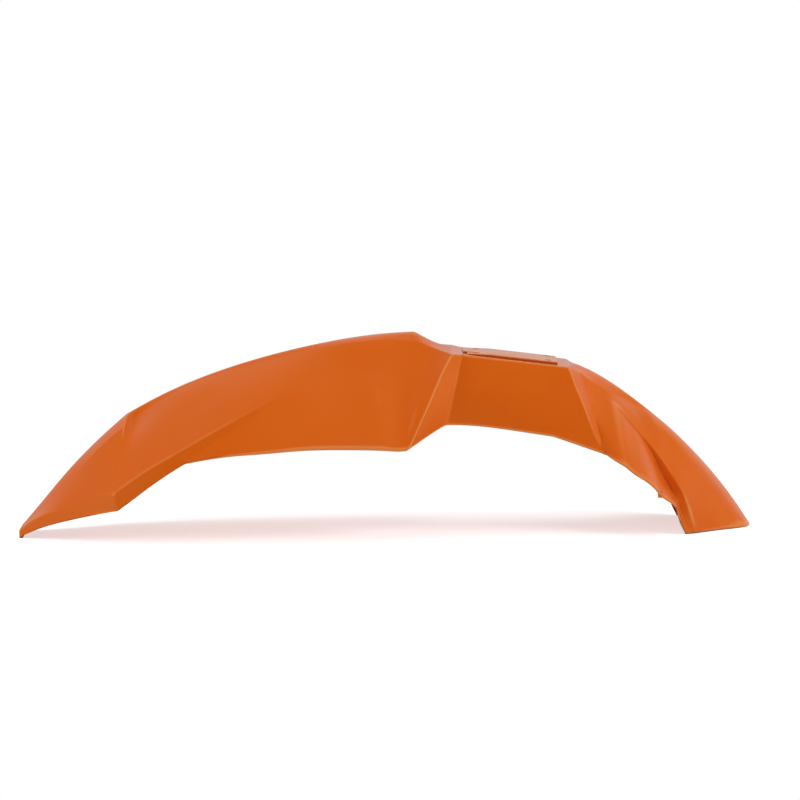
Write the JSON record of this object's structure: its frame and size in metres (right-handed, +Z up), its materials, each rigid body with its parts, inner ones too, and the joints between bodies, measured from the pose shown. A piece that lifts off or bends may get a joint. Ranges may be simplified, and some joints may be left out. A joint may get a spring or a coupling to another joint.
{
  "type": "motorcycle front mudguard",
  "caption": "Moulded orange plastic front mudguard for an off-road motorcycle, with a long pointed nose, a stepped waist with a bolt seat and a flared rear deck.",
  "frame": {"origin": "middle of the bolt pad's top face, as the mudguard stands on its nose lip and rear rim", "axes": "+X from the nose to the tail, +Z up, +Y to the side away from the camera; the bolt pad's normal leans 7.4 degrees from +Z towards +X"},
  "size_m": [0.791, 0.2246, 0.215],
  "materials": {
    "orange_plastic": "semi-gloss moulded polypropylene with a fine grain"
  },
  "bodies": {
    "root": {"mudguard": "orange_plastic"}
  },
  "joints": []
}
